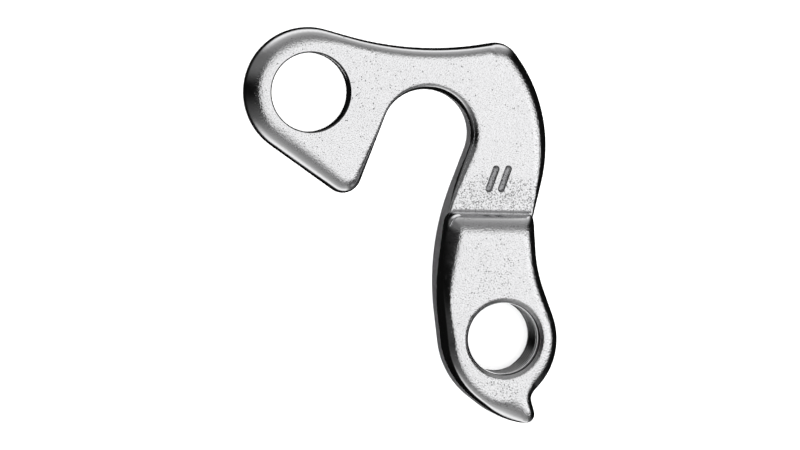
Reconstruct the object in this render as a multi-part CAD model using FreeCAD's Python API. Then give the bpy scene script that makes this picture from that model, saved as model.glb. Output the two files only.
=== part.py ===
import FreeCAD, Part
import math
import os

# Sizes are in millimetres and angles in degrees.
# The z axis is the axis of the derailleur thread and y runs up the arm towards the axle slot.
# The flat outboard back is drawn on z = 0; the finished hanger is then lowered, so that
# the origin lies halfway through the thread.

# Thicknesses of the forging; its walls are upright up to the trim height and have draft above
PLATE_THICKNESS = 3.5
PLATE_TRIM_HEIGHT = 0.6
PLATE_DRAFT_ANGLE = 8.0
ARM_THICKNESS = 8.0
ARM_TRIM_HEIGHT = 4.0
ARM_DRAFT_ANGLE = 5.0

# Derailleur thread M10 x 1, bored at its tapping size, with a flare at both ends
THREAD_DIAMETER = 10.0
THREAD_PITCH = 1.0
THREAD_LEAD_IN = 0.05
THREAD_FLARE_ROLL = 0.5

# Each rolled edge of the inboard side has a radius where a rounded corner of the outline
# starts and ends, counter-clockwise, and a third between them where it changes halfway.

# Axle slot: a round end about the axle, and two parallel walls that open down and to the left
SLOT_X = -9.0
SLOT_Y = 25.95
SLOT_WIDTH = 11.1
SLOT_HEADING = 68.7
LOBE_TIP_REACH = 11.75
LOBE_TIP_RADIUS = 2.35
LOBE_TIP_ROLLS = (1.9, 1.5)
SLOT_LOBE_ROLLS = (0.5, 0.5)
SLOT_ARM_ROLLS = (0.5, 1.1)
ARM_BEND_REACH = 13.45
ARM_BEND_RADIUS = 33.8
BEND_ROLLS_ON_PLATE = (0.65, 0.3, 0.3)
BEND_ROLLS_ON_ARM = (2.4, 2.3, 0.95)

# Frame bolt hole in the middle of the round lobe, measured from the axle
FRAME_HOLE_DIAMETER = 10.0
FRAME_HOLE_X = -15.0
FRAME_HOLE_Y = 5.2
FRAME_HOLE_EDGE_BREAK = 0.16
LOBE_WALL = 3.25
LOBE_ROLLS = (1.8, 2.5, 2.5)

# Corners where straight sides of the plate would meet: x and y measured from the axle,
# the radius that rounds each, and its rolls
RIGHT_FLANK = (17.4, 2.35, 19.45, (1.25, 2.0, 2.0))
TOP_CORNER = (10.55, 11.8, 3.15, (2.0, 2.0))
TOP_DIP = (-1.1, 9.85, 41.05, (1.35, 1.35))

# Corners of the arm in the same way, measured from the thread
HEEL = (-6.75, -5.2, 10.45, (1.2, 1.2))
SOLE = (-0.2, -10.3, 10.8, (1.5, 2.2))
NUB = (4.95, -11.6, 1.4, (1.5, 1.2))
NOTCH = (3.75, -7.35, 1.1, (1.2, 1.3))
BOSS = (8.65, -2.45, 8.9, (1.65, 1.65))
WAIST = (4.6, 8.7, 18.25, (1.7, 1.7))

# Shoulder: the step from the plate up to the arm
SHOULDER_Y = 15.95
SHOULDER_TILT = -1.6
SHOULDER_ROLL = 2.8
SHOULDER_LEFT_CORNER = 1.6
SHOULDER_RIGHT_CORNER = 0.8
SHOULDER_CORNER_ROLL = 2.5
SHOULDER_FOOT_RADIUS = 0.3
PLATE_OVERLAP = 3.7

# Kink of the right side below the shoulder, measured from the shoulder
NECK = (4.4, -3.05, 0.5, (0.2, 0.2))

# Small break round the back
BACK_BREAK = 0.3

# Lot mark: two short slanting grooves stamped in the plate above the shoulder
MARK_X = 0.1
MARK_Y = 20.1
MARK_LENGTH = 3.6
MARK_HEADING = 70.0
MARK_SPACING = 1.6
MARK_WIDTH = 0.9
MARK_DEPTH = 0.2

# Sizes that follow from the ones above
FRAME_HOLE_RADIUS = FRAME_HOLE_DIAMETER / 2
LOBE_RADIUS = FRAME_HOLE_RADIUS + LOBE_WALL
TAP_RADIUS = (THREAD_DIAMETER - THREAD_PITCH) / 2
THREAD_FLARE_RADIUS = THREAD_DIAMETER / 2 + THREAD_LEAD_IN
SLOT_RADIUS = SLOT_WIDTH / 2
AXLE = FreeCAD.Vector(SLOT_X, SLOT_Y, 0)
FRAME_HOLE = AXLE + FreeCAD.Vector(FRAME_HOLE_X, FRAME_HOLE_Y, 0)
SHOULDER = FreeCAD.Vector(0, SHOULDER_Y, 0)
MARK_RADIUS = (MARK_WIDTH ** 2 / 4 + MARK_DEPTH ** 2) / (2 * MARK_DEPTH)
ARM_DRAFT_SLOPE = math.tan(math.radians(ARM_DRAFT_ANGLE))
ARM_INSET = (ARM_THICKNESS - ARM_TRIM_HEIGHT) * ARM_DRAFT_SLOPE
PLATE_INSET = (PLATE_THICKNESS - PLATE_TRIM_HEIGHT) * math.tan(math.radians(PLATE_DRAFT_ANGLE))

# A length beyond any edge of the forging, and the gap below which two points are one
WELL_PAST = 100.0
SAME_POINT = 1e-6
ORIGIN = FreeCAD.Vector(0, 0, 0)
Z_AXIS = FreeCAD.Vector(0, 0, 1)


def heading(angle):
    """The unit vector in the plan that points along an angle."""
    return FreeCAD.Vector(math.cos(math.radians(angle)), math.sin(math.radians(angle)), 0)


def to_the_left(direction):
    """The unit vector in the plan that points to the left of a direction."""
    return Z_AXIS.cross(direction)


def placed(corner, datum):
    """A named corner as its point in the plan, measured from a datum, its radius and rolls."""
    x, y, radius, rolls = corner
    return datum + FreeCAD.Vector(x, y, 0), radius, rolls


def tangent_heading(start, centre, radius, side):
    """The direction from a point that grazes a circle, swung to the left (1) or right (-1)."""
    offset = centre - start
    swing = side * math.degrees(math.asin(radius / offset.Length))
    return heading(math.degrees(math.atan2(offset.y, offset.x)) + swing)


def crossing(first_point, first_direction, second_point, second_direction):
    """The point where two lines in the plan meet."""
    across = to_the_left(second_direction)
    along = (second_point - first_point).dot(across) / first_direction.dot(across)
    return first_point + first_direction * along


def lobe_corner(before, after):
    """The corner where the two sides that graze the lobe would meet, its radius and rolls."""
    arriving = tangent_heading(before, FRAME_HOLE, LOBE_RADIUS, -1)
    leaving = tangent_heading(after, FRAME_HOLE, LOBE_RADIUS, 1)
    return crossing(before, arriving, after, leaving), LOBE_RADIUS, LOBE_ROLLS


def slot_corners(bend_rolls):
    """The lobe's tip, the two corners of the slot's round end, and the bend of the arm."""
    inward = heading(SLOT_HEADING)
    to_lobe = to_the_left(inward) * SLOT_RADIUS
    tip = (AXLE + to_lobe - inward * LOBE_TIP_REACH, LOBE_TIP_RADIUS, LOBE_TIP_ROLLS)
    lobe_end = (AXLE + to_lobe + inward * SLOT_RADIUS, SLOT_RADIUS, SLOT_LOBE_ROLLS)
    arm_end = (AXLE - to_lobe + inward * SLOT_RADIUS, SLOT_RADIUS, SLOT_ARM_ROLLS)
    bend = (AXLE - to_lobe - inward * ARM_BEND_REACH, ARM_BEND_RADIUS, bend_rolls)
    return tip, lobe_end, arm_end, bend


def lower_corners():
    """The corners round the arm and the boss, from the heel to the neck."""
    below = [placed(corner, ORIGIN) for corner in (HEEL, SOLE, NUB, NOTCH, BOSS, WAIST)]
    return [*below, placed(NECK, SHOULDER)]


def outline_corners():
    """Every corner of the outline, counter-clockwise from the lobe."""
    upper = [placed(corner, AXLE) for corner in (RIGHT_FLANK, TOP_CORNER, TOP_DIP)]
    slot = slot_corners(BEND_ROLLS_ON_PLATE)
    lobe = lobe_corner(upper[-1][0], slot[0][0])
    return halved([lobe, *slot, *lower_corners(), *upper])


def arm_corners():
    """The corners round the arm, whose right side runs straight past the neck into the plate."""
    arm_end, bend = slot_corners(BEND_ROLLS_ON_ARM)[2:]
    *lower, waist, neck = lower_corners()
    past_the_neck = neck[0] + neck[0] - waist[0]
    sharp = (0, (SHOULDER_CORNER_ROLL, SHOULDER_CORNER_ROLL))
    return halved([(arm_end[0], *sharp), bend, *lower, waist, (past_the_neck, *sharp)])


def with_neighbours(corners):
    """Each corner's point, radius and rolls, after the points before and beyond it."""
    for place, (point, radius, rolls) in enumerate(corners):
        yield corners[place - 1][0], point, corners[(place + 1) % len(corners)][0], radius, rolls


def halved(corners):
    """Corners in which each rounding with a third roll is made of two equal arcs."""
    parts = []
    for before, corner, after, radius, rolls in with_neighbours(corners):
        if len(rolls) == 2:
            parts.append((corner, radius, rolls))
            continue
        start, middle, end = rounding(before, corner, after, radius)
        arriving = (corner - before).normalize()
        leaving = (after - corner).normalize()
        reach = radius * math.tan(arriving.getAngle(leaving) / 4)
        parts.append((start + arriving * reach, radius, rolls[:2]))
        parts.append((end - leaving * reach, radius, rolls[1:]))
    return parts


def rounding(before, corner, after, radius):
    """Start, middle and end of the arc that rounds a corner."""
    arriving = (corner - before).normalize()
    leaving = (after - corner).normalize()
    half_turn = arriving.getAngle(leaving) / 2
    setback = radius * math.tan(half_turn)
    inwards = (leaving - arriving).normalize()
    middle = corner + inwards * (radius / math.cos(half_turn) - radius)
    return corner - arriving * setback, middle, corner + leaving * setback


def rounded_wire(corners, height):
    """A closed wire of straight sides and tangent arcs through rounded corners, at a height."""
    lift = Z_AXIS * height
    roundings = [rounding(*corner) for *corner, rolls in with_neighbours(corners)]
    previous_end = roundings[-1][2]
    edges = []
    for start, middle, end in roundings:
        if (start - previous_end).Length > SAME_POINT:
            edges.append(Part.LineSegment(previous_end + lift, start + lift).toShape())
        if (end - start).Length > SAME_POINT:
            edges.append(Part.Arc(start + lift, middle + lift, end + lift).toShape())
        previous_end = end
    return Part.Wire(edges)


def inset_corners(corners, distance):
    """Corners with every side moved inwards; outward arcs shrink and inward arcs grow."""
    moved = []
    for before, corner, after, radius, rolls in with_neighbours(corners):
        arriving = (corner - before).normalize()
        leaving = (after - corner).normalize()
        first = corner + to_the_left(arriving) * distance
        second = corner + to_the_left(leaving) * distance
        growth = -distance if arriving.cross(leaving).z > 0 else distance
        new_radius = radius + growth if radius else 0
        moved.append((crossing(first, arriving, second, leaving), new_radius, rolls))
    return moved


def drafted_block(corners, trim_height, inset, thickness):
    """A block with upright walls up to the trim height and walls that lean in above."""
    foot = Part.Face(rounded_wire(corners, 0)).extrude(Z_AXIS * trim_height)
    parting = rounded_wire(corners, trim_height)
    face = rounded_wire(inset_corners(corners, inset), thickness)
    return foot.fuse(Part.makeLoft([parting, face], True, True))


def roll_at(point, corners):
    """The roll at the joint of an outline that lies nearest to a point, seen in the plan."""
    place = FreeCAD.Vector(point.x, point.y, 0)
    joints = []
    for *corner, rolls in with_neighbours(corners):
        start, middle, end = rounding(*corner)
        joints.append(((start - place).Length, rolls[0]))
        joints.append(((end - place).Length, rolls[1]))
    return min(joints)[1]


def rolled(shape, radii):
    """A shape whose edges are rounded by the radii that a function gives for their two ends."""
    document = FreeCAD.newDocument()
    source = document.addObject("Part::Feature")
    source.Shape = shape
    rounded = document.addObject("Part::Fillet")
    rounded.Base = source
    numbered = enumerate(shape.Edges, 1)
    rounded.Edges = [(number, *radii(edge)) for number, edge in numbered if radii(edge)]
    document.recompute()
    return rounded.Shape.copy()


def along_shoulder(shape):
    """A shape drawn about the origin, turned and moved to follow the shoulder line."""
    shape.rotate(ORIGIN, Z_AXIS, SHOULDER_TILT)
    shape.translate(SHOULDER)
    return shape


def past_shoulder(point):
    """How far a point lies beyond the shoulder line, on the plate's side."""
    return (point - SHOULDER).dot(to_the_left(heading(SHOULDER_TILT)))


def side_view(y, z):
    """A point of a side view drawn beyond the left end of the shoulder."""
    return FreeCAD.Vector(-WELL_PAST, y, z)


def swept_along_shoulder(edges):
    """The solid that a closed side view sweeps along the shoulder line."""
    profile = Part.Face(Part.Wire(edges))
    return along_shoulder(profile.extrude(FreeCAD.Vector(2 * WELL_PAST, 0, 0)))


def wall_lean(z):
    """How far the shoulder's leaning wall lies beyond the shoulder line at a height."""
    return (PLATE_THICKNESS - z) * ARM_DRAFT_SLOPE


def below_shoulder():
    """The space on the arm's side of the shoulder's leaning wall."""
    corners = [
        side_view(wall_lean(0), 0),
        side_view(wall_lean(ARM_THICKNESS), ARM_THICKNESS),
        side_view(-WELL_PAST, ARM_THICKNESS),
        side_view(-WELL_PAST, 0),
    ]
    return swept_along_shoulder(Part.makePolygon([*corners, corners[0]]).Edges)


def on_shoulder_wall(point):
    """Whether a point lies on the shoulder's leaning wall."""
    return abs(past_shoulder(point) - wall_lean(point.z)) < SAME_POINT


def arm_radii(edge):
    """The radii that round an edge of the arm at its two ends, or none where it stays sharp."""
    ends = [edge.firstVertex().Point, edge.lastVertex().Point]
    on_wall = all(on_shoulder_wall(end) for end in ends)
    if on_wall and edge.BoundBox.ZLength > SAME_POINT:
        corner = SHOULDER_LEFT_CORNER if ends[0].x < 0 else SHOULDER_RIGHT_CORNER
        return [corner, corner]
    if edge.BoundBox.ZMin < ARM_THICKNESS - SAME_POINT:
        return []
    return [SHOULDER_ROLL, SHOULDER_ROLL] if on_wall else [arm_roll_at(end) for end in ends]


def arm_roll_at(point):
    """The radius of the arm's rolled edge at one end of an edge of its face."""
    if on_shoulder_wall(point):
        return SHOULDER_CORNER_ROLL
    return roll_at(point, inset_corners(arm_corners(), ARM_INSET))


def arm_block():
    """The arm with its trimmed wall, drafted wall, shoulder and rolled edges."""
    block = drafted_block(arm_corners(), ARM_TRIM_HEIGHT, ARM_INSET, ARM_THICKNESS)
    return rolled(block.common(below_shoulder()), arm_radii)


def steep(angle):
    """The unit vector of a side view at an angle in radians from upright."""
    return FreeCAD.Vector(0, math.sin(angle), math.cos(angle))


def shoulder_foot(plate):
    """The small hollow rounding between the plate's flat face and the shoulder's wall."""
    half_turn = math.radians(90 - ARM_DRAFT_ANGLE) / 2
    reach = SHOULDER_FOOT_RADIUS * math.tan(half_turn)
    outer = side_view(reach, PLATE_THICKNESS)
    centre = outer + Z_AXIS * SHOULDER_FOOT_RADIUS
    middle = centre - steep(half_turn) * SHOULDER_FOOT_RADIUS
    upper = centre - steep(2 * half_turn) * SHOULDER_FOOT_RADIUS
    inside = side_view(-reach, PLATE_THICKNESS - reach)
    strip = swept_along_shoulder([
        Part.Arc(outer, middle, upper).toShape(),
        Part.LineSegment(upper, inside).toShape(),
        Part.LineSegment(inside, outer).toShape(),
    ])
    top_faces = [face for face in plate.Faces if face.BoundBox.ZMin > PLATE_THICKNESS - SAME_POINT]
    room = max(top_faces, key=area).extrude(Z_AXIS * SHOULDER_FOOT_RADIUS)
    return strip.common(room)


def area(face):
    """The area of a face."""
    return face.Area


def plate_radii(edge):
    """The radii that round an edge of the plate at its two ends, or none where it stays sharp."""
    ends = [edge.firstVertex().Point, edge.lastVertex().Point]
    is_cut = all(abs(past_shoulder(end) + PLATE_OVERLAP) < SAME_POINT for end in ends)
    if is_cut or edge.BoundBox.ZMin < PLATE_THICKNESS - SAME_POINT:
        return []
    return [roll_at(end, inset_corners(outline_corners(), PLATE_INSET)) for end in ends]


def plate_block():
    """The plate with its drafted wall and rolled inboard edge, ending inside the arm."""
    whole = drafted_block(outline_corners(), PLATE_TRIM_HEIGHT, PLATE_INSET, PLATE_THICKNESS)
    corner = FreeCAD.Vector(-WELL_PAST, -WELL_PAST - PLATE_OVERLAP, 0)
    below = along_shoulder(Part.makeBox(2 * WELL_PAST, WELL_PAST, PLATE_THICKNESS, corner))
    return rolled(whole.cut(below), plate_radii)


def bore(base, radius, height, flare_radius):
    """A round hole along z from its base, with a 45 degree flare at both ends."""
    flare = flare_radius - radius
    hole = Part.makeCylinder(radius, height, base)
    low = Part.makeCone(flare_radius, radius, flare, base)
    high = Part.makeCone(radius, flare_radius, flare, base + Z_AXIS * (height - flare))
    return hole.fuse([low, high])


def thread_bore():
    """The tapped hole at its tapping size, with the flare's front edge rolled."""
    block = Part.makeCylinder(BOSS[2], ARM_THICKNESS)
    drilled = block.cut(bore(ORIGIN, TAP_RADIUS, ARM_THICKNESS, THREAD_FLARE_RADIUS))
    rim = [edge for edge in drilled.Edges if edge.BoundBox.ZMin > ARM_THICKNESS - SAME_POINT]
    rim = [edge for edge in rim if edge.BoundBox.XMax < THREAD_FLARE_RADIUS + SAME_POINT]
    return block.cut(drilled.makeFillet(THREAD_FLARE_ROLL, rim))


def mark_groove(x):
    """One stamped groove of the lot mark: a round-ended bar let a little into the plate's face."""
    run = MARK_LENGTH - MARK_WIDTH
    direction = heading(MARK_HEADING)
    middle = FreeCAD.Vector(x, MARK_Y, PLATE_THICKNESS + MARK_RADIUS - MARK_DEPTH)
    start = middle - direction * (run / 2)
    ends = [Part.makeSphere(MARK_RADIUS, end) for end in (start, start + direction * run)]
    return Part.makeCylinder(MARK_RADIUS, run, start, direction).fuse(ends)


def forging():
    """The solid forging before it is drilled and stamped, with its back edge broken."""
    plate = plate_block()
    body = plate.fuse([arm_block(), shoulder_foot(plate)]).removeSplitter()
    back_edges = [edge for edge in body.Edges if edge.BoundBox.ZMax < SAME_POINT]
    return body.makeChamfer(BACK_BREAK, back_edges)


def hanger():
    """The finished hanger as one solid, with the origin halfway through its thread."""
    edge_radius = FRAME_HOLE_RADIUS + FRAME_HOLE_EDGE_BREAK
    frame_hole = bore(FRAME_HOLE, FRAME_HOLE_RADIUS, PLATE_THICKNESS, edge_radius)
    grooves = [mark_groove(MARK_X - MARK_SPACING / 2), mark_groove(MARK_X + MARK_SPACING / 2)]
    drilled = forging().cut([thread_bore(), frame_hole, *grooves]).Solids[0]
    return drilled.translate(Z_AXIS * -ARM_THICKNESS / 2)


os.makedirs("parts", exist_ok=True)
hanger().exportStep("parts/hanger.step")
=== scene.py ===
"""Bicycle derailleur hanger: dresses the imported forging, cuts its fine thread and lights it.

Sizes in the classes are in millimetres where their names end in _mm, and in metres elsewhere.
The lens and its sensor are in millimetres too, and the sky's directions are in degrees.
The z axis is the axis of the derailleur thread and y runs up the arm towards the axle slot.
"""
import logging
import math
from dataclasses import dataclass, field
from enum import Enum

import bpy
import numpy as np
from mathutils import Matrix, Vector


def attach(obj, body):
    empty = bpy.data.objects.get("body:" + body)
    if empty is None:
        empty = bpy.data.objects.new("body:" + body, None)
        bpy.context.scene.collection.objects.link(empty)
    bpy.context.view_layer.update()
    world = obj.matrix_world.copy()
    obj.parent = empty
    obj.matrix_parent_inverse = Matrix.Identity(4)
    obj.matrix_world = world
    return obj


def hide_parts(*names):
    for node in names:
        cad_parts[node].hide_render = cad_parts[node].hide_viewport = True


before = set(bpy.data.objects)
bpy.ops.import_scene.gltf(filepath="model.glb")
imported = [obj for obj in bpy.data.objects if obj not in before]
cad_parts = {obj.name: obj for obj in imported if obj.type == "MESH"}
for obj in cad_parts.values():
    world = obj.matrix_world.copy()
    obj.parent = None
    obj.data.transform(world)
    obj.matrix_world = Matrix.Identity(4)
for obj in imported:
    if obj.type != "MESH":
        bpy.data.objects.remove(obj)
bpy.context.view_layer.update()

MM = 0.001
NEARLY_ZERO = 1e-30
UPWARD = "upward"
STRIP_TOP = "strip_top"
log = logging.getLogger("hanger")

Socket = bpy.types.NodeSocket
Pair = tuple[float, float]
Triple = tuple[float, float, float]


class Region(Enum):
    """The surfaces of the forging that carry a finish of their own, in material order."""

    FORGED = 0
    TRIMMED = 1
    DRILLED = 2
    THREADED = 3
    STAMPED = 4


@dataclass(frozen=True)
class Ease:
    """A soft step: start up to low, end from high on, and 3t^2 - 2t^3 of the way at the share t between."""

    low: float
    high: float
    start: float = 0.0
    end: float = 1.0

    def of(self, value: np.ndarray) -> np.ndarray:
        """Eases each number of an array.

        Args:
            value: the numbers to ease.

        Returns:
            An array of numbers between start and end.
        """
        share = np.clip((value - self.low) / (self.high - self.low), 0.0, 1.0)
        return self.start + (self.end - self.start) * share * share * (3.0 - 2.0 * share)


@dataclass(frozen=True)
class Spot:
    """A soft oval spot in the plan: its middle, its reach along x and y, and the level in its middle."""

    middle_mm: Pair
    reach_mm: Pair
    level: float


def is_open(triangles: np.ndarray) -> np.ndarray:
    """True for each triangle whose corner numbers all differ, so that it hasn't closed up."""
    return (triangles != np.roll(triangles, 1, axis=1)).all(axis=1)


def unit(vectors: np.ndarray) -> np.ndarray:
    """Each vector of the last axis divided by its length; one without length stays as it is."""
    return vectors / np.maximum(np.linalg.norm(vectors, axis=-1, keepdims=True), NEARLY_ZERO)


class Wiring:
    """Adds nodes to one node tree and joins their sockets."""

    def __init__(self, tree: bpy.types.NodeTree) -> None:
        """Empties the tree that is to be filled."""
        self.tree = tree
        tree.nodes.clear()

    def feed(self, target: Socket, value: object) -> None:
        """Joins a socket to an input, or sets the input's own number.

        Args:
            target: the input to fill.
            value: an output socket, a number or a colour.
        """
        if isinstance(value, bpy.types.NodeSocket):
            self.tree.links.new(value, target)
        else:
            target.default_value = value

    def add(self, kind: str, **inputs: object) -> bpy.types.Node:
        """Adds a node; each named input is either joined to a socket or given a number.

        Args:
            kind: the node's type, such as ShaderNodeMath.
            inputs: input names, with _ for a space, and what each one takes.

        Returns:
            The new node.
        """
        node = self.tree.nodes.new(kind)
        for name, value in inputs.items():
            self.feed(node.inputs[name.replace("_", " ")], value)
        return node

    def fill(self, node: bpy.types.Node, values: dict[int, object]) -> bpy.types.Node:
        """Feeds a node's inputs by their numbers.

        Args:
            node: the node.
            values: what each numbered input takes.

        Returns:
            The same node.
        """
        for number, value in values.items():
            self.feed(node.inputs[number], value)
        return node

    def work(self, operation: str, *values: object) -> Socket:
        """One arithmetic step on sockets or numbers.

        Args:
            operation: the name of the step, such as ADD.
            values: one to three sockets or numbers.

        Returns:
            The result's socket.
        """
        node = self.tree.nodes.new("ShaderNodeMath")
        node.operation = operation
        return self.fill(node, dict(enumerate(values))).outputs[0]

    def times(self, first: object, second: object) -> Socket:
        """The product of two sockets or numbers."""
        return self.work("MULTIPLY", first, second)

    def rest(self, share: Socket) -> Socket:
        """What a share leaves of 1."""
        return self.work("SUBTRACT", 1.0, share)

    def squares(self, x: Socket, y: Socket) -> Socket:
        """The sum of two squares, x^2 + y^2."""
        return self.work("ADD", self.times(x, x), self.times(y, y))

    def parts(self, vector: Socket) -> tuple[Socket, Socket, Socket]:
        """The x, y and z of a vector."""
        return tuple(self.add("ShaderNodeSeparateXYZ", Vector=vector).outputs)

    def degrees(self, across: Socket, along: Socket) -> Socket:
        """The angle from -180 to 180 of a direction, from its parts across and along the zero direction."""
        return self.times(self.work("ARCTAN2", across, along), 180 / math.pi)

    def eased(self, value: Socket, ease: Ease) -> Socket:
        """Eases a value.

        Args:
            value: the socket to ease.
            ease: the soft step that it follows.

        Returns:
            The eased result's socket.
        """
        node = self.tree.nodes.new("ShaderNodeMapRange")
        node.interpolation_type = "SMOOTHSTEP"
        ends = {"From Min": ease.low, "From Max": ease.high, "To Min": ease.start, "To Max": ease.end}
        for name, number in {**ends, "Value": value}.items():
            self.feed(node.inputs[name], number)
        return node.outputs["Result"]

    def ramp(self, value: Socket, stops: tuple[Pair, ...]) -> Socket:
        """A grey level that follows straight lines between stops.

        Args:
            value: the socket that runs along the stops, from 0 to 1.
            stops: pairs of a place and the grey level there.

        Returns:
            The grey level's socket.
        """
        node = self.add("ShaderNodeValToRGB", Fac=value)
        elements = node.color_ramp.elements
        while len(elements) > 1:
            elements.remove(elements[0])
        elements[0].position = stops[0][0]
        for place, _ in stops[1:]:
            elements.new(place)
        for element, (_, level) in zip(elements, stops):
            element.color = (level, level, level, 1.0)
        return node.outputs["Color"]

    def blend(self, share: object, first: object, second: object) -> Socket:
        """Mixes two numbers.

        Args:
            share: 0 gives the first and 1 the second.
            first: the first socket or number.
            second: the second socket or number.

        Returns:
            The mixture's socket.
        """
        node = self.tree.nodes.new("ShaderNodeMix")
        node.data_type = "FLOAT"
        return self.fill(node, {0: share, 2: first, 3: second}).outputs[0]

    def tinted(self, share: object, first: Triple, second: Triple) -> Socket:
        """Mixes two colours.

        Args:
            share: 0 gives the first and 1 the second.
            first: the first colour.
            second: the second colour.

        Returns:
            The mixed colour's socket.
        """
        node = self.tree.nodes.new("ShaderNodeMix")
        node.data_type = "RGBA"
        return self.fill(node, {0: share, 6: (*first, 1.0), 7: (*second, 1.0)}).outputs[2]

    def layered(self, share: Socket, first: Socket, second: Socket) -> Socket:
        """Mixes two shaders: a share of 0 gives the first and 1 the second."""
        return self.fill(self.add("ShaderNodeMixShader"), {0: share, 1: first, 2: second}).outputs[0]

    def attribute(self, name: str) -> Socket:
        """A number that the mesh carries.

        Args:
            name: the attribute's name.

        Returns:
            The number's socket.
        """
        node = self.add("ShaderNodeAttribute")
        node.attribute_name = name
        return node.outputs["Fac"]

    def stretched(self, place: Socket, scale: Triple) -> Socket:
        """Coordinates multiplied along x, y and z; a small factor draws a pattern out that way."""
        return self.add("ShaderNodeMapping", Vector=place, Scale=scale).outputs["Vector"]

    def millimetres(self) -> Socket:
        """The object's own coordinates in millimetres."""
        return self.stretched(self.add("ShaderNodeTexCoord").outputs["Object"], (1 / MM,) * 3)

    def shifted(self, place: Socket, per_mm: float, reach_mm: float) -> Socket:
        """Coordinates that wander a little, so that a regular pattern looks natural.

        Args:
            place: the coordinates in millimetres.
            per_mm: how many swells there are in a millimetre.
            reach_mm: how far a swell of full strength moves a point.

        Returns:
            The moved coordinates' socket.
        """
        swell = self.add("ShaderNodeTexNoise", Vector=place, Scale=per_mm).outputs["Color"]
        move = self.tree.nodes.new("ShaderNodeVectorMath")
        move.operation = "MULTIPLY_ADD"
        return self.fill(move, {0: swell, 1: (reach_mm,) * 3, 2: place}).outputs["Vector"]

    def spot(self, place: Socket, spot: Spot) -> Socket:
        """The level of a spot: its own level in the middle, eased to 0 at its oval border.

        Args:
            place: the coordinates in millimetres.
            spot: where it lies and how strong it is.

        Returns:
            The level's socket.
        """
        x, y, _ = self.parts(place)
        across = self.work("DIVIDE", self.work("SUBTRACT", x, spot.middle_mm[0]), spot.reach_mm[0])
        along = self.work("DIVIDE", self.work("SUBTRACT", y, spot.middle_mm[1]), spot.reach_mm[1])
        return self.eased(self.squares(across, along), Ease(0.0, 1.0, spot.level, 0.0))

    def noise(self, place: Socket, per_mm: float, layers: float) -> Socket:
        """Soft random grey, with so many swells in a millimetre and so many finer layers added."""
        return self.add("ShaderNodeTexNoise", Vector=place, Scale=per_mm, Detail=layers).outputs["Fac"]


def new_material(name: str) -> tuple[bpy.types.Material, Wiring]:
    """An empty node material.

    Args:
        name: the finish's name.

    Returns:
        The material and the wiring of its nodes.
    """
    material = bpy.data.materials.new(name)
    material.use_nodes = True
    return material, Wiring(material.node_tree)


@dataclass(frozen=True)
class Aluminium:
    """What the finishes of the metal share; where one is uneven, its roughness varies by the spread."""

    name: str = "bare_aluminium"
    colour: Triple = (0.86, 0.86, 0.87)
    dark: Triple = (0.06, 0.06, 0.062)
    roughness: float = 0.2
    spread: Pair = (-0.02, 0.05)
    middle: Pair = (0.3, 0.7)

    def metal(
        self, wiring: Wiring, colour: Socket, roughness: object, normal: Socket, metallic: object = 1.0
    ) -> Socket:
        """The metal's shader.

        Args:
            wiring: the material's nodes.
            colour: the metal's colour.
            roughness: how dull it is, from 0 to 1.
            normal: the bumped normal.
            metallic: how much of it is bare metal; the rest is pale, dull metal on the strip and a painted
                highlight on cut walls.

        Returns:
            The shader's socket.
        """
        shader = wiring.add("ShaderNodeBsdfPrincipled", Metallic=metallic, Roughness=roughness, Normal=normal)
        wiring.feed(shader.inputs["Base Color"], colour)
        return shader.outputs["BSDF"]

    def uneven(self, wiring: Wiring, pattern: Socket) -> Socket:
        """The roughness, changed by the two ends of its spread across the middle of a pattern.

        Args:
            wiring: the material's nodes.
            pattern: the pattern, from 0 to 1.

        Returns:
            The roughness's socket.
        """
        least, most = (self.roughness + change for change in self.spread)
        return wiring.eased(pattern, Ease(*self.middle, least, most))

    def bump(self, wiring: Wiring, height: Socket, depth_mm: float, normal: Socket | None = None) -> Socket:
        """Turns a height between 0 and 1 into a bumped normal.

        Args:
            wiring: the material's nodes.
            height: the height's socket.
            depth_mm: how far a height of 1 stands out.
            normal: a normal that is already bumped.

        Returns:
            The bumped normal's socket.
        """
        node = wiring.add("ShaderNodeBump", Height=height, Distance=depth_mm * MM, Strength=1.0)
        if normal is not None:
            wiring.feed(node.inputs["Normal"], normal)
        return node.outputs["Normal"]

    def shader(self, wiring: Wiring, place: Socket) -> Socket:
        """The finish as a shader on coordinates in millimetres; each finish has its own."""
        raise NotImplementedError

    def make(self) -> bpy.types.Material:
        """The finished material."""
        material, wiring = new_material(self.name)
        wiring.add("ShaderNodeOutputMaterial", Surface=self.shader(wiring, wiring.millimetres()))
        return material


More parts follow.
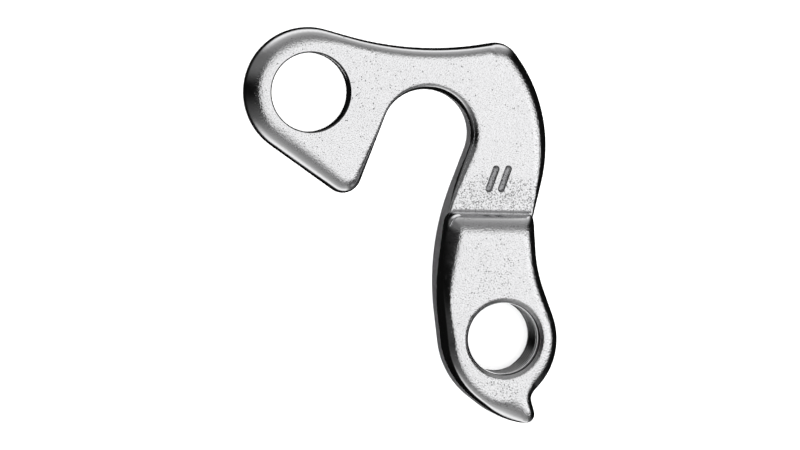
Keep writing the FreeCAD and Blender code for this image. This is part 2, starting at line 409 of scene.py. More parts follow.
@dataclass(frozen=True)
class ForgedFinish(Aluminium):
    """Tumbled bright metal: grainy on its flats, with pits that crowd together above the shoulder."""

    name: str = "bright_forging"
    roughness: float = 0.13
    clouds_per_mm: float = 0.9
    flat: Ease = Ease(0.74, 0.94, 0.1, 1.0)
    grain_per_mm: float = 4.5
    grain_depth_mm: float = 0.05
    specks_per_mm: float = 8.0
    speck: Ease = Ease(0.27, 0.41, 0.34, 0.0)
    pits_per_mm: float = 6.0
    pit_swells_per_mm: float = 12.0
    pit_wander_mm: float = 0.12
    pit_depth_mm: float = 0.03
    pit_strength: Ease = Ease(0.2, 1.0, 0.4, 1.2)
    pit_edge: Ease = Ease(0.15, 0.5, 1.0, 0.0)
    pit_shade: float = 0.9
    pitted_swells_per_mm: float = 0.35
    pitted_share: Ease = Ease(0.35, 0.7, 0.01, 0.045)
    crowds: tuple[Spot, ...] = (
        Spot((-1.0, 17.5), (9.5, 3.9), 0.66),
        Spot((-1.4, 8.0), (4.2, 6.5), 0.13),
        Spot((-1.2, -6.6), (3.6, 2.8), 0.20),
        Spot((-16.0, 31.0), (5.0, 9.0), 0.06),
    )

    def pits(self, wiring: Wiring, place: Socket, flat: Socket) -> Socket:
        """Small pits: one in each cell whose random number is below the local share of pitted cells.

        Args:
            wiring: the material's nodes.
            place: the coordinates in millimetres.
            flat: 1 on the flats and near 0 on the rolled edges.

        Returns:
            A socket that is highest in the middle of a pit and 0 between pits.
        """
        bent = wiring.shifted(place, self.pit_swells_per_mm, self.pit_wander_mm)
        cells = wiring.add("ShaderNodeTexVoronoi", Vector=bent, Scale=self.pits_per_mm)
        chance = wiring.add("ShaderNodeSeparateColor", Color=cells.outputs["Color"])
        swells = wiring.noise(place, self.pitted_swells_per_mm, layers=1.0)
        share = wiring.eased(swells, self.pitted_share)
        for crowd in self.crowds:
            share = wiring.work("ADD", share, wiring.spot(place, crowd))
        present = wiring.work("LESS_THAN", chance.outputs["Red"], wiring.times(share, flat))
        strength = wiring.eased(chance.outputs["Green"], self.pit_strength)
        dot = wiring.eased(cells.outputs["Distance"], self.pit_edge)
        return wiring.times(wiring.times(dot, present), strength)

    def shader(self, wiring: Wiring, place: Socket) -> Socket:
        """The finish as a shader.

        Args:
            wiring: the material's nodes.
            place: the coordinates in millimetres.

        Returns:
            The shader's socket.
        """
        flat = wiring.eased(wiring.attribute(UPWARD), self.flat)
        pits = self.pits(wiring, place, flat)
        grain = wiring.times(wiring.noise(place, self.grain_per_mm, layers=2.0), flat)
        normal = self.bump(wiring, grain, self.grain_depth_mm)
        normal = self.bump(wiring, wiring.rest(pits), self.pit_depth_mm, normal)
        roughness = self.uneven(wiring, wiring.noise(place, self.clouds_per_mm, layers=3.0))
        specks = wiring.eased(wiring.noise(place, self.specks_per_mm, layers=0.0), self.speck)
        shade = wiring.work("MAXIMUM", wiring.times(specks, flat), wiring.times(pits, self.pit_shade))
        return self.metal(wiring, wiring.tinted(shade, self.colour, self.dark), roughness, normal)


@dataclass(frozen=True)
class StampedPaintedShadeFinish(ForgedFinish):
    """The bottom of the stamped grooves: pitted all over, and painted darker as the shade in the grooves."""

    name: str = "stamped_groove"
    # Painted shade: the grooves' colour is darker than the face's.
    colour: Triple = (0.36, 0.36, 0.37)
    crowds: tuple[Spot, ...] = (Spot((0.1, 20.1), (8.0, 8.0), 0.5),)


@dataclass(frozen=True)
class TrimmedFinish(Aluminium):
    """The wall: a dull strip that the trimming tool left along the back, and bright forging above."""

    name: str = "trimmed_wall"
    colour: Triple = (0.42, 0.42, 0.43)
    lighter: float = 1.2
    clouds_per_mm: float = 0.6
    cloud: Ease = Ease(0.35, 0.65)
    metallic: float = 0.84
    roughness: float = 0.38
    spread: Pair = (-0.05, 0.08)
    marks_per_mm: float = 4.0
    mark_depth_mm: float = 0.01
    mark_stretch: Triple = (1.0, 1.0, 0.12)
    back_mm: float = -4.0
    edge_mm: float = 0.12
    waves_per_mm: float = 1.2
    wave: Pair = (0.2, 0.8)
    above: ForgedFinish = ForgedFinish()

    def strip(self, wiring: Wiring, place: Socket) -> Socket:
        """The dull strip's shader.

        Args:
            wiring: the material's nodes.
            place: the coordinates in millimetres.

        Returns:
            The shader's socket.
        """
        marks = wiring.noise(wiring.stretched(place, self.mark_stretch), self.marks_per_mm, layers=3.0)
        normal = self.bump(wiring, marks, self.mark_depth_mm)
        cloud = wiring.eased(wiring.noise(place, self.clouds_per_mm, layers=3.0), self.cloud)
        paler = tuple(level * self.lighter for level in self.colour)
        colour = wiring.tinted(cloud, self.colour, paler)
        return self.metal(wiring, colour, self.uneven(wiring, marks), normal, self.metallic)

    def shader(self, wiring: Wiring, place: Socket) -> Socket:
        """The strip up to the height that the mesh carries, and the forged finish above it.

        Args:
            wiring: the material's nodes.
            place: the coordinates in millimetres.

        Returns:
            The shader's socket.
        """
        _, _, z = wiring.parts(place)
        waves = wiring.noise(place, self.waves_per_mm, layers=2.0)
        wander = wiring.eased(waves, Ease(*self.wave, -self.edge_mm, self.edge_mm))
        height = wiring.work("ADD", wiring.work("SUBTRACT", z, self.back_mm), wander)
        over = wiring.work("SUBTRACT", height, wiring.attribute(STRIP_TOP))
        share = wiring.eased(over, Ease(-self.edge_mm, self.edge_mm))
        return wiring.layered(share, self.strip(wiring, place), self.above.shader(wiring, place))


@dataclass(frozen=True)
class CutFinish(Aluminium):
    """Metal cut by a turning tool, with fine rings round the hole's axis and stains."""

    name: str = "cut_wall"
    roughness: float = 0.12
    rings_per_mm: float = 9.0
    ring_depth_mm: float = 0.002
    ring_stretch: Triple = (0.05, 0.05, 1.0)
    stains_per_mm: float = 1.6
    stain: Ease = Ease(0.45, 0.75, 0.0, 0.2)

    def rings(self, wiring: Wiring, place: Socket) -> Socket:
        """The bumped normal with the tool's rings."""
        rings = wiring.noise(wiring.stretched(place, self.ring_stretch), self.rings_per_mm, layers=3.0)
        return self.bump(wiring, rings, self.ring_depth_mm)

    def stained(self, wiring: Wiring, place: Socket, shade: Socket) -> Socket:
        """The metal's colour, darker where it is shaded from 0 to 1 or stained."""
        stain = wiring.eased(wiring.noise(place, self.stains_per_mm, layers=2.0), self.stain)
        return wiring.tinted(wiring.work("MAXIMUM", stain, shade), self.colour, self.dark)


@dataclass(frozen=True)
class DrilledFinish(CutFinish):
    """The frame hole's wall: painted shade on its broken edge, and a painted highlight in a pale line below
    it on one side.
    """

    name: str = "drilled_wall"
    # Painted shade: faces of the hole that turn upward are painted dark, the more the further they turn.
    edge: Ease = Ease(0.15, 0.45, 0.0, 0.92)
    # Painted highlight: in this spot and between these heights the metal turns pale and dull.
    line: Spot = Spot((-21.0, 35.6), (3.6, 3.6), 1.0)
    highlight_top_mm: float = -1.1
    highlight_foot_mm: float = -2.2
    highlight_edge_mm: float = 0.15

    def shader(self, wiring: Wiring, place: Socket) -> Socket:
        """The finish as a shader.

        Args:
            wiring: the material's nodes.
            place: the coordinates in millimetres.

        Returns:
            The shader's socket.
        """
        # Painted shade on the broken edge, by how far each face turns upward.
        edge = wiring.eased(wiring.attribute(UPWARD), self.edge)
        _, _, z = wiring.parts(place)
        under = wiring.eased(z, Ease(self.highlight_top_mm - self.highlight_edge_mm, self.highlight_top_mm, 1.0, 0.0))
        over = wiring.eased(z, Ease(self.highlight_foot_mm, self.highlight_foot_mm + self.highlight_edge_mm))
        # The painted highlight: a pale, dull band in the spot between the two heights.
        painted_highlight = wiring.times(wiring.spot(place, self.line), wiring.times(under, over))
        colour = self.stained(wiring, place, edge)
        return self.metal(wiring, colour, self.roughness, self.rings(wiring, place), wiring.rest(painted_highlight))


@dataclass(frozen=True)
class ThreadFinish(CutFinish):
    """The thread: painted shade in the roots, a painted highlight on the crests that grows towards the mouth,
    and a duller mouth with painted shade on one turn inside it.
    """

    name: str = "cut_thread"
    # Painted shade: the deeper parts of the grooves are painted dark.
    root_shade_mm: Ease = Ease(4.5, 4.7, 0.0, 0.9)
    # Painted highlight: the crests turn pale and dull, more so towards the mouth.
    crest_mm: Ease = Ease(4.52, 4.62, 1.0, 0.0)
    crest_highlight_mm: Ease = Ease(0.6, 3.0, 0.0, 0.55)
    mouth_mm: float = 3.4
    mouth_roughness: float = 0.30
    # Painted shade on the innermost turn in the mouth.
    first_turn_shade_mm: Ease = Ease(4.6, 4.68, 1.0, 0.0)

    def shader(self, wiring: Wiring, place: Socket) -> Socket:
        """The finish as a shader.

        Args:
            wiring: the material's nodes.
            place: the coordinates in millimetres.

        Returns:
            The shader's socket.
        """
        x, y, z = wiring.parts(place)
        radius = wiring.work("SQRT", wiring.squares(x, y))
        at_mouth = wiring.work("GREATER_THAN", z, self.mouth_mm)
        inside = wiring.rest(at_mouth)
        # Painted shade in the roots and on the first turn, mixed into the colour with the stains.
        root = wiring.times(wiring.eased(radius, self.root_shade_mm), inside)
        first_turn_shade = wiring.times(wiring.eased(radius, self.first_turn_shade_mm), at_mouth)
        colour = self.stained(wiring, place, wiring.work("ADD", root, first_turn_shade))
        duller = wiring.times(at_mouth, self.mouth_roughness - self.roughness)
        roughness = wiring.work("ADD", duller, self.roughness)
        # The painted highlight on the crests.
        crest = wiring.times(wiring.eased(radius, self.crest_mm), inside)
        painted_highlight = wiring.times(wiring.eased(z, self.crest_highlight_mm), crest)
        return self.metal(wiring, colour, roughness, self.rings(wiring, place), wiring.rest(painted_highlight))


@dataclass(frozen=True)
class TrimStrip:
    """How high the dull strip stands on the wall: highest at the shoulder, and low round the lobe."""

    heights_mm: tuple[Pair, ...] = (
        (-11.0, 4.7), (-7.0, 4.4), (-4.0, 3.7), (-1.6, 2.9), (3.5, 2.8), (5.6, 3.3), (8.6, 4.1),
        (11.7, 4.5), (14.5, 3.9), (20.2, 2.0), (24.0, 2.2), (28.5, 1.8), (31.0, 0.8), (34.0, 0.5),
    )
    lobe_side_mm: float = -15.0
    lobe_height_mm: float = 0.5

    def height(self, place: np.ndarray) -> np.ndarray:
        """The strip's height: straight lines between pairs of y and height, and one height on the lobe.

        Args:
            place: x and y coordinates in millimetres, one row for each point.

        Returns:
            The heights above the back, in millimetres.
        """
        along, heights = zip(*self.heights_mm)
        on_arm = np.interp(place[:, 1], along, heights)
        return np.where(place[:, 0] < self.lobe_side_mm, self.lobe_height_mm, on_arm)


@dataclass
class Shell:
    """A triangle mesh as arrays: points, corner numbers, a normal at each corner and a region."""

    points: np.ndarray
    triangles: np.ndarray
    normals: np.ndarray
    regions: np.ndarray

    @classmethod
    def of(cls, source: bpy.types.Object) -> "Shell":
        """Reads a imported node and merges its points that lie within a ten-thousandth of a millimetre.

        Args:
            source: the node's object, whose mesh is loose triangles.

        Returns:
            The welded shell, all in the forged region.
        """
        mesh = source.data
        raw = np.zeros(len(mesh.vertices) * 3, np.float32)
        mesh.vertices.foreach_get("co", raw)
        corners = np.zeros(len(mesh.loops), np.int32)
        mesh.loops.foreach_get("vertex_index", corners)
        normals = np.zeros(len(mesh.loops) * 3, np.float32)
        mesh.corner_normals.foreach_get("vector", normals)
        decimals = 4
        keys = np.round(raw.reshape(-1, 3) / MM, decimals)
        _, first, merged = np.unique(keys, axis=0, return_index=True, return_inverse=True)
        triangles = merged.ravel()[corners].reshape(-1, 3)
        points = raw.reshape(-1, 3)[first].astype(float)
        regions = np.full(len(triangles), Region.FORGED.value)
        return cls(points, triangles, normals.reshape(-1, 3, 3), regions).kept(is_open(triangles))

    def kept(self, keep: np.ndarray) -> "Shell":
        """A shell with the same points and only the triangles that are marked True."""
        return Shell(self.points, self.triangles[keep], self.normals[keep], self.regions[keep])

    def joined(
        self, points: np.ndarray, triangles: np.ndarray, normals: np.ndarray, region: Region
    ) -> "Shell":
        """The shell with new points and triangles.

        Args:
            points: the new points, which follow the old ones.
            triangles: corner numbers, counted over the old and new points.
            normals: a normal for each corner of each new triangle.
            region: the region of the new triangles.

        Returns:
            A new shell.
        """
        return Shell(
            np.vstack([self.points, points]),
            np.vstack([self.triangles, triangles]),
            np.concatenate([self.normals, normals]),
            np.concatenate([self.regions, np.full(len(triangles), region.value)]),
        )

    def mesh(self, name: str, strip: TrimStrip) -> bpy.types.Mesh:
        """Makes the mesh, leaving out points that no triangle uses.

        Args:
            name: the mesh's name.
            strip: the dull strip, whose height each point carries.

        Returns:
            The finished mesh with its corner normals and material numbers.
        """
        used, triangles = np.unique(self.triangles, return_inverse=True)
        triangles = triangles.reshape(-1, 3)
        made = bpy.data.meshes.new(name)
        made.from_pydata(self.points[used], [], triangles)
        made.polygons.foreach_set("use_smooth", np.ones(len(triangles), bool))
        made.polygons.foreach_set("material_index", self.regions.astype(np.int32))
        made.normals_split_custom_set(self.normals.reshape(-1, 3))
        upward = made.attributes.new(UPWARD, "FLOAT", "CORNER")
        upward.data.foreach_set("value", self.normals[..., 2].ravel().astype(np.float32))
        strip_top = made.attributes.new(STRIP_TOP, "FLOAT", "POINT")
        strip_top.data.foreach_set("value", strip.height(self.points[used, :2] / MM).astype(np.float32))
        made.update()
        return made


@dataclass
class FineThread:
    """An internal screw thread in a bore along z through the origin, with a flare at both ends."""

    half_height_mm: float = 4.0
    thread_radius_mm: float = 5.0
    tap_radius_mm: float = 4.5
    pitch_mm: float = 1.0
    crest_pitches: float = 1 / 4
    root_pitches: float = 1 / 8
    flare_radius_mm: float = 5.05
    flare_roll_mm: float = 0.5
    seam_mm: float = 0.03
    run_out_mm: float = 0.06
    columns: int = 128
    rows_per_turn: int = 16

    def front_rim(self) -> Pair:
        """Radius and height where the rolled front rim leaves the flare's 45 degree cone."""
        setback = self.flare_roll_mm * math.tan(math.pi / 8) * math.cos(math.pi / 4)
        return self.flare_radius_mm - setback, self.half_height_mm - setback

    def back_rim(self) -> Pair:
        """Radius and height of the back flare's rim."""
        return self.flare_radius_mm, -self.half_height_mm

    def is_bore(self, shell: Shell) -> np.ndarray:
        """Finds the triangles of the plain bore and its flares.

        Args:
            shell: the forging's shell.

        Returns:
            True for each triangle whose corners all lie on the bore or its cones.
        """
        slack_mm = 0.01
        radius = np.hypot(shell.points[:, 0], shell.points[:, 1]) / MM
        height = shell.points[:, 2] / MM
        front = (height > 0) & (radius < self.front_rim()[0] + slack_mm)
        back = (height <= 0) & (radius < self.back_rim()[0] + slack_mm)
        return (front | back)[shell.triangles].all(axis=1)

    def radius_at(self, height: np.ndarray, phase: np.ndarray) -> np.ndarray:
        """The bore's radius: the deeper of the thread and the flare's cone.

        The thread is a 60 degree groove: a crest a quarter of a pitch wide, two straight flanks
        and a root an eighth of a pitch wide. Its root runs out to the front rim.

        Args:
            height: heights above the middle of the bore.
            phase: where each point lies along the pitch, from 0 to 1.

        Returns:
            The radii in millimetres.
        """
        half_crest, half_root = self.crest_pitches / 2, self.root_pitches / 2
        from_crest = np.abs(phase - 0.5)
        depth = np.clip((from_crest - half_crest) / (0.5 - half_root - half_crest), 0.0, 1.0)
        thread = self.tap_radius_mm + (self.thread_radius_mm - self.tap_radius_mm) * depth
        rim_radius, rim_height = self.front_rim()
        last = rim_height - self.seam_mm
        run_out = Ease(last - self.run_out_mm, last).of(height)
        thread = thread - np.maximum(thread - rim_radius, 0.0) * run_out
        cone_starts = self.half_height_mm - (self.flare_radius_mm - self.tap_radius_mm)
        cone = self.tap_radius_mm + np.abs(height) - cone_starts
        return np.maximum(thread, cone)

    def wall(self) -> np.ndarray:
        """The threaded wall as a grid: columns round the axis and rows that climb with the helix.

        Row v of column u lies at height pitch (v + u / columns), kept between the two rims.

        Returns:
            The points of each row in millimetres, rows first.
        """
        low = self.back_rim()[1] + self.seam_mm
        high = self.front_rim()[1] - self.seam_mm
        turns = math.ceil((high - low) / self.pitch_mm) + 1
        row = np.arange(turns * self.rows_per_turn + 1)[:, None] / self.rows_per_turn - 1.0
        column = np.arange(self.columns + 1)[None, :] / self.columns
        height = np.clip(low + (row + column) * self.pitch_mm, low, high)
        phase = np.mod((height - low) / self.pitch_mm - column, 1.0)
        radius = self.radius_at(height, phase)
        angle = np.broadcast_to(column, height.shape) * 2 * np.pi
        return np.stack([radius * np.cos(angle), radius * np.sin(angle), height], axis=-1)

    def cut(self, shell: Shell) -> Shell:
        """Replaces the shell's plain bore by the threaded wall.

        Args:
            shell: the forging's shell.

        Returns:
            The shell with the thread, closed all round.
        """
        body = shell.kept(~self.is_bore(shell))
        wall, triangles, wall_normals = self.faced(self.wall())
        start = len(body.points)
        points = np.vstack([body.points, wall * MM])
        z = wall[:, 2]
        same_mm = 1e-6
        rims = []
        for is_front, rim, edge_z in ((False, self.back_rim(), z.min()), (True, self.front_rim(), z.max())):
            edge = np.flatnonzero(np.isclose(z, edge_z, atol=same_mm)) + start
            rims.append(self.zipped(points, edge, self.ring_of(body, rim), is_front))
        rims = np.vstack(rims)
        triangles = np.vstack([triangles + start, rims])
        normals = np.concatenate([wall_normals, self.smooth_normals(points, rims)])
        return body.joined(wall * MM, triangles, normals, Region.THREADED)

    def faced(self, grid: np.ndarray) -> tuple[np.ndarray, np.ndarray, np.ndarray]:
        """Makes the grid's triangles, two for each quad, and welds them.

        Args:
            grid: the wall's points, rows first.

        Returns:
            The welded points, their triangles and a normal for each corner.
        """
        rows, columns = grid.shape[:2]
        number = np.arange(rows * columns).reshape(rows, columns)
        quads = np.stack([number[:-1, :-1], number[:-1, 1:], number[1:, 1:], number[1:, :-1]], axis=-1)
        quads = quads.reshape(-1, 4)
        triangles = np.vstack([quads[:, [0, 2, 1]], quads[:, [0, 3, 2]]])
        left, right = self.side_normals(grid)
        normals = np.vstack([np.stack([left, right, right], axis=1), np.stack([left, left, right], axis=1)])
        return self.weld(grid.reshape(-1, 3), triangles, normals)

    @staticmethod
    def side_normals(grid: np.ndarray) -> tuple[np.ndarray, np.ndarray]:
        """Normals of the wall's quads at their sides: smooth round the axis and sharp across the rows.

        Args:
            grid: the wall's points, rows first.

        Returns:
            A normal for the left side of each quad, and one for the right side.
        """
        rise = grid[1:, :-1] - grid[:-1, 1:]
        slant = grid[1:, 1:] - grid[:-1, :-1]
        facing = np.cross(rise, slant)
        # In the plan each normal is turned towards the axis.
        outward = (facing[..., :2] * grid[:-1, :-1, :2]).sum(axis=-1, keepdims=True)
        facing[..., :2] *= -np.sign(outward)
        facing = unit(facing)
        left = unit(facing + np.roll(facing, 1, axis=1))
        right = unit(facing + np.roll(facing, -1, axis=1))
        return left.reshape(-1, 3), right.reshape(-1, 3)

    @staticmethod
    def weld(
        points: np.ndarray, triangles: np.ndarray, normals: np.ndarray
    ) -> tuple[np.ndarray, np.ndarray, np.ndarray]:
        """Merges points within a hundred-thousandth of a millimetre and drops triangles that close up.

        Args:
            points: the points.
            triangles: their corner numbers.
            normals: a normal for each corner.

        Returns:
            The merged points, the remaining triangles and their normals.
        """
        decimals = 5
        keys = np.round(points, decimals)
        _, first, merged = np.unique(keys, axis=0, return_index=True, return_inverse=True)
        corners = merged.ravel()[triangles]
        kept = is_open(corners)
        return points[first], corners[kept], normals[kept]

    @staticmethod
    def ring_of(body: Shell, rim: Pair) -> np.ndarray:
        """Finds the body's points on one rim of the bore.

        Args:
            body: the shell without its bore.
            rim: the rim's radius and height in millimetres.

        Returns:
            The points' numbers.
        """
        slack_mm = 0.003
        used = np.unique(body.triangles)
        place = body.points[used] / MM
        off_radius = np.abs(np.hypot(place[:, 0], place[:, 1]) - rim[0])
        off_height = np.abs(place[:, 2] - rim[1])
        return used[(off_radius < slack_mm) & (off_height < slack_mm)]

    @staticmethod
    def zipped(points: np.ndarray, inner: np.ndarray, outer: np.ndarray, inner_is_below: bool) -> np.ndarray:
        """Closes the band between two rings of points round the z axis.

        The points of both rings are taken in the order of their angles; each one makes a
        triangle with the last point that was passed on either ring.

        Args:
            points: all the points.
            inner: numbers of the points on one ring.
            outer: numbers of the points on the other ring.
            inner_is_below: whether the inner ring is the lower one.

        Returns:
            Corner numbers of triangles that face the axis.
        """
        ring = np.concatenate([inner, outer])
        is_inner = np.arange(len(ring)) < len(inner)
        order = np.argsort(np.arctan2(points[ring, 1], points[ring, 0]), kind="stable")
        ring, is_inner = ring[order], is_inner[order]
        place = np.arange(len(ring))
        last_inner = np.maximum.accumulate(np.where(is_inner, place, -1))
        last_outer = np.maximum.accumulate(np.where(is_inner, -1, place))
        last_inner = np.where(last_inner < 0, np.flatnonzero(is_inner)[-1], last_inner)
        last_outer = np.where(last_outer < 0, np.flatnonzero(~is_inner)[-1], last_outer)
        before_inner, before_outer = np.roll(last_inner, 1), np.roll(last_outer, 1)
        made = np.stack([ring[before_inner], ring[before_outer], ring], axis=1)
        return made if inner_is_below else made[:, [1, 0, 2]]

    @staticmethod
    def smooth_normals(points: np.ndarray, triangles: np.ndarray) -> np.ndarray:
        """Corner normals: the mean of the faces round each point, weighted by their areas.

        Args:
            points: all the points.
            triangles: corner numbers of the new faces.

        Returns:
            A normal for each corner of each face.
        """
        a, b, c = (points[triangles[:, corner]] for corner in range(3))
        facing = np.cross(b - a, c - a)
        total = np.zeros((len(points), 3))
        for corner in range(3):
            np.add.at(total, triangles[:, corner], facing)
        return unit(total)[triangles]


@dataclass
class Hanger:
    """The one forging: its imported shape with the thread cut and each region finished."""

    name: str = "hanger_forging"
    node: str = "hanger"
    frame_hole_mm: Pair = (-24.0, 31.15)
    frame_hole_reach_mm: float = 5.25
    flattest_hole_edge: float = 0.9
    flattest_wall: float = 0.3
    mark_mm: Pair = (0.1, 20.1)
    mark_reach_mm: float = 3.0
    mark_top_mm: float = -0.52
    mark_faces_above: float = -0.5
    thread: FineThread = field(default_factory=FineThread)
    strip: TrimStrip = field(default_factory=TrimStrip)
    forged: ForgedFinish = field(default_factory=ForgedFinish)
    trimmed: TrimmedFinish = field(default_factory=TrimmedFinish)
    drilled: DrilledFinish = field(default_factory=DrilledFinish)
    threaded: ThreadFinish = field(default_factory=ThreadFinish)
    stamped: StampedPaintedShadeFinish = field(default_factory=StampedPaintedShadeFinish)

    def find_regions(self, shell: Shell) -> None:
        """Marks the trimmed walls, the frame hole's wall and the stamped grooves.

        Args:
            shell: the forging's shell, whose regions are changed.
        """
        middle = shell.points[shell.triangles].mean(axis=1) / MM
        upward = shell.normals.mean(axis=1)[:, 2]
        from_hole = np.hypot(middle[:, 0] - self.frame_hole_mm[0], middle[:, 1] - self.frame_hole_mm[1])
        in_hole = from_hole < self.frame_hole_reach_mm
        forged = shell.regions == Region.FORGED.value
        is_wall = forged & ~in_hole & (np.abs(upward) < self.flattest_wall)
        shell.regions[is_wall] = Region.TRIMMED.value
        is_hole_wall = forged & in_hole & (np.abs(upward) < self.flattest_hole_edge)
        shell.regions[is_hole_wall] = Region.DRILLED.value
        from_mark = np.hypot(middle[:, 0] - self.mark_mm[0], middle[:, 1] - self.mark_mm[1])
        sunk = (middle[:, 2] < self.mark_top_mm) & (upward > self.mark_faces_above)
        shell.regions[(from_mark < self.mark_reach_mm) & sunk] = Region.STAMPED.value

    def build(self) -> bpy.types.Object:
        """Makes the piece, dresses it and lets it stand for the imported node.

        Returns:
            The finished piece.
        """
        shell = self.thread.cut(Shell.of(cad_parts[self.node]))
        self.find_regions(shell)
        piece = bpy.data.objects.new(self.name, shell.mesh(self.name, self.strip))
        bpy.context.scene.collection.objects.link(piece)
        for finish in (self.forged, self.trimmed, self.drilled, self.threaded, self.stamped):
            piece.data.materials.append(finish.make())
        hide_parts(self.node)
        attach(piece, "root")
        return piece


@dataclass(frozen=True)
class Photographer:
    """The camera at the photograph's viewing angle."""

    place_mm: Triple = (-84.03, 34.01, 421.56)
    target_mm: Triple = (-12.728, 14.348, 0.0)
    lens: float = 152.15
    sensor_width: float = 36.0
    nearest: float = 0.01
    furthest: float = 100.0

    def build(self) -> bpy.types.Object:
        """Makes the camera and gives it to the scene.

        Returns:
            The camera.
        """
        data = bpy.data.cameras.new("camera")
        data.lens = self.lens
        data.sensor_width = self.sensor_width
        data.clip_start = self.nearest
        data.clip_end = self.furthest
        camera = bpy.data.objects.new("camera", data)
        bpy.context.scene.collection.objects.link(camera)
        place, target = Vector(self.place_mm) * MM, Vector(self.target_mm) * MM
        back = (place - target).normalized()
        right = Vector((0, 1, 0)).cross(back).normalized()
        turn = Matrix((right, back.cross(right), back)).transposed()
        camera.matrix_world = Matrix.Translation(place) @ turn.to_4x4()
        bpy.context.scene.camera = camera
        return camera


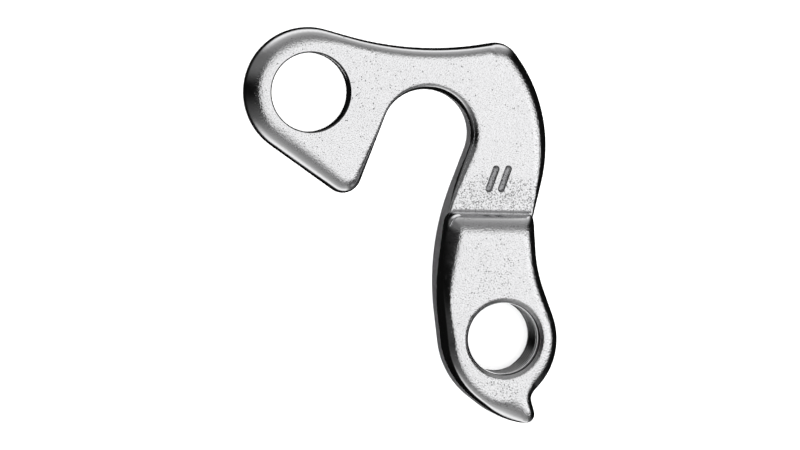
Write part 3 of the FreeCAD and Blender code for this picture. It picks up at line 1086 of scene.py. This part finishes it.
@dataclass(frozen=True)
class Studio:
    """A plain pale floor, a soft overhead light and a sky that stands for the white and dark cards."""

    floor_height_mm: float = -4.0
    floor_reach: float = 30.0
    floor_colours: tuple[Triple, Triple] = ((0.86, 0.86, 0.86), (0.87, 0.87, 0.87))
    floor_swells_per_mm: float = 0.05
    floor_swell: Ease = Ease(0.3, 0.7)
    lamp_height: float = 1.2
    lamp_width: float = 1.6
    lamp_power: float = 52.0
    card_left: Ease = Ease(-31.0, -25.0)
    card_right: Ease = Ease(50.0, 78.0, 1.0, 0.0)
    card_ends: Ease = Ease(2.0, 45.0, 1.0, 0.0)
    card_levels: tuple[Pair, ...] = ((-30.0, 1.0), (10.0, 1.0), (22.0, 1.2), (50.0, 1.2), (80.0, 1.0))
    ends: tuple[Pair, ...] = (
        (-90.0, 0.0), (-49.0, 0.005), (-40.0, 0.88), (-34.0, 1.0), (-25.0, 1.0), (-12.0, 0.70),
        (-3.0, 0.48), (7.0, 0.36), (17.0, 0.28), (26.0, 0.26), (90.0, 0.26),
    )
    brightest: float = 2.0
    never_zero: float = 0.001
    rightward: Ease = Ease(0.0, 0.4, 0.0, 0.38)
    near_end: Ease = Ease(0.45, 0.90)
    far_end: Ease = Ease(0.65, 0.95)
    near_sides: Ease = Ease(0.0, 0.6, 0.0, 0.10)
    far_sides: Ease = Ease(0.12, 0.5, 0.0, 0.14)
    off_the_floor: Ease = Ease(-0.9, -0.6)
    dark_level: float = 0.004

    def floor(self) -> bpy.types.Object:
        """Makes the floor, which the metal's reflections leave to the sky.

        Returns:
            The floor.
        """
        reach, height = self.floor_reach, self.floor_height_mm * MM
        around = ((-reach, -reach), (reach, -reach), (reach, reach), (-reach, reach))
        mesh = bpy.data.meshes.new("floor")
        mesh.from_pydata([(x, y, height) for x, y in around], [], [(0, 1, 2, 3)])
        floor = bpy.data.objects.new("floor", mesh)
        bpy.context.scene.collection.objects.link(floor)
        material, wiring = new_material("pale_floor")
        swells = wiring.noise(wiring.millimetres(), self.floor_swells_per_mm, layers=2.0)
        colour = wiring.tinted(wiring.eased(swells, self.floor_swell), *self.floor_colours)
        shader = wiring.add("ShaderNodeBsdfDiffuse", Color=colour)
        wiring.add("ShaderNodeOutputMaterial", Surface=shader.outputs["BSDF"])
        mesh.materials.append(material)
        floor.visible_glossy = False
        return floor

    def lamp(self) -> bpy.types.Object:
        """Makes the overhead light that falls on the floor.

        Returns:
            The light.
        """
        data = bpy.data.lights.new("overhead", "AREA")
        data.size = self.lamp_width
        data.energy = self.lamp_power
        lamp = bpy.data.objects.new("overhead", data)
        bpy.context.scene.collection.objects.link(lamp)
        lamp.location = (0.0, 0.0, self.lamp_height)
        lamp.visible_glossy = False
        return lamp

    def by_angle(self, wiring: Wiring, angle: Socket, stops: tuple[Pair, ...]) -> Socket:
        """A level that follows straight lines between stops at angles.

        Args:
            wiring: the world's nodes.
            angle: the angle in degrees, from -180 to 180.
            stops: pairs of an angle and the level there, up to the brightest.

        Returns:
            The level's socket.
        """
        turn = 360.0
        place = wiring.work("ADD", wiring.work("DIVIDE", angle, turn), 0.5)
        levels = wiring.ramp(place, tuple((at / turn + 0.5, level / self.brightest) for at, level in stops))
        return wiring.times(levels, self.brightest)

    def around(self, wiring: Wiring, x: Socket, y: Socket, z: Socket) -> Socket:
        """The level beside and below the card: grey ends by their height, and dark sides between them.

        Args:
            wiring: the world's nodes.
            x: the direction's part to the right.
            y: its part to the back.
            z: its part up.

        Returns:
            The level's socket.
        """
        flat = wiring.work("SQRT", wiring.squares(x, y))
        divisor = wiring.work("ADD", flat, self.never_zero)
        share = wiring.work("DIVIDE", wiring.work("ABSOLUTE", y), divisor)
        rightward = wiring.eased(wiring.work("DIVIDE", x, divisor), self.rightward)
        turned = wiring.work("SUBTRACT", share, rightward)
        is_behind = wiring.work("GREATER_THAN", y, 0.0)
        near_level = wiring.eased(turned, self.near_sides)
        far_level = wiring.eased(turned, self.far_sides)
        sides = wiring.blend(is_behind, near_level, far_level)
        sides = wiring.times(sides, wiring.eased(z, self.off_the_floor))
        sides = wiring.work("ADD", sides, self.dark_level)
        ends = self.by_angle(wiring, wiring.degrees(z, flat), self.ends)
        near_end = wiring.eased(turned, self.near_end)
        far_end = wiring.eased(share, self.far_end)
        return wiring.blend(wiring.blend(is_behind, near_end, far_end), sides, ends)

    def sky(self) -> bpy.types.World:
        """Makes the light from all round, by direction: a card overhead, grey ends, dark sides.

        Returns:
            The scene's world.
        """
        world = bpy.data.worlds.new("studio")
        world.use_nodes = True
        bpy.context.scene.world = world
        wiring = Wiring(world.node_tree)
        x, y, z = wiring.parts(wiring.add("ShaderNodeTexCoord").outputs["Generated"])
        across = wiring.degrees(x, z)
        along = wiring.degrees(wiring.work("ABSOLUTE", y), z)
        card = wiring.times(wiring.eased(across, self.card_left), wiring.eased(across, self.card_right))
        card = wiring.times(card, wiring.eased(along, self.card_ends))
        levels = self.by_angle(wiring, across, self.card_levels)
        level = wiring.blend(card, self.around(wiring, x, y, z), levels)
        light = wiring.add("ShaderNodeBackground", Color=level, Strength=1.0).outputs[0]
        white = wiring.add("ShaderNodeBackground", Color=(1.0, 1.0, 1.0, 1.0), Strength=1.0).outputs[0]
        seen = wiring.add("ShaderNodeLightPath").outputs["Is Camera Ray"]
        wiring.add("ShaderNodeOutputWorld", Surface=wiring.layered(seen, light, white))
        return world

    def build(self) -> None:
        """Makes the floor, the lamp and the sky, and sets plain colours."""
        self.floor()
        self.lamp()
        self.sky()
        bpy.context.scene.view_settings.view_transform = "Standard"
        bpy.context.scene.view_settings.look = "None"


def main() -> None:
    """Builds the piece, the studio and the camera in order."""
    logging.basicConfig(level=logging.INFO, format="%(name)s: %(message)s")
    piece = Hanger().build()
    log.info("%s has %d triangles", piece.name, len(piece.data.polygons))
    Studio().build()
    log.info("the studio has its floor, lamp and sky")
    Photographer().build()
    log.info("the camera stands at the photograph's viewing angle")


if __name__ == "__main__":
    main()
